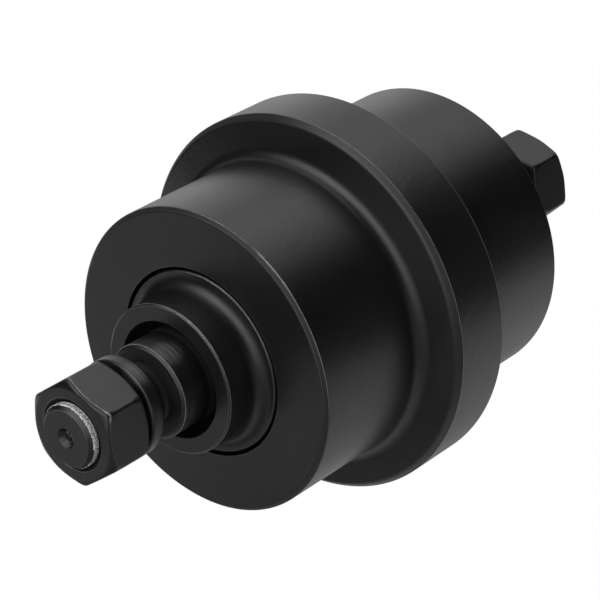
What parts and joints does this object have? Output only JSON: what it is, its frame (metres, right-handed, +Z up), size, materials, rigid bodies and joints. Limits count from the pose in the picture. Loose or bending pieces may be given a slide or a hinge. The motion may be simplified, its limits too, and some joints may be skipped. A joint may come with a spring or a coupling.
{
  "type": "track bottom roller",
  "caption": "Sealed bottom roller for a small tracked machine: centre-flanged roller on a fixed shaft with threaded ends, nuts and spring washers.",
  "frame": {"origin": "middle of the roller, on the shaft's axis", "axes": "+Y along the shaft towards the rear nut, +Z up, +X to the right seen from the front nut"},
  "size_m": [0.1244, 0.228, 0.1244],
  "materials": {
    "black_paint": "satin",
    "spring_steel": "satin",
    "seal_iron": "satin",
    "seal_rubber": "matte",
    "bush_bronze": "satin"
  },
  "bodies": {
    "shaft_group": {"shaft": "black_paint", "front_collar": "black_paint", "front_snap_ring": "spring_steel", "front_shaft_o_ring": "seal_rubber", "front_fixed_seal_ring": "seal_iron", "front_fixed_toric_ring": "seal_rubber", "front_spring_washer": "black_paint", "front_nut": "black_paint", "rear_collar": "black_paint", "rear_snap_ring": "spring_steel", "rear_shaft_o_ring": "seal_rubber", "rear_fixed_seal_ring": "seal_iron", "rear_fixed_toric_ring": "seal_rubber", "rear_spring_washer": "black_paint", "rear_nut": "black_paint"},
    "roller_group": {"roller_shell": "black_paint", "front_bush": "bush_bronze", "front_turning_seal_ring": "seal_iron", "front_turning_toric_ring": "seal_rubber", "rear_bush": "bush_bronze", "rear_turning_seal_ring": "seal_iron", "rear_turning_toric_ring": "seal_rubber"}
  },
  "joints": [
    {"name": "roller_spin", "type": "hinge", "parent": "shaft_group", "child": "roller_group", "pos_m": [0, 0, 0], "axis": [0, 1, 0], "continuous": true}
  ]
}
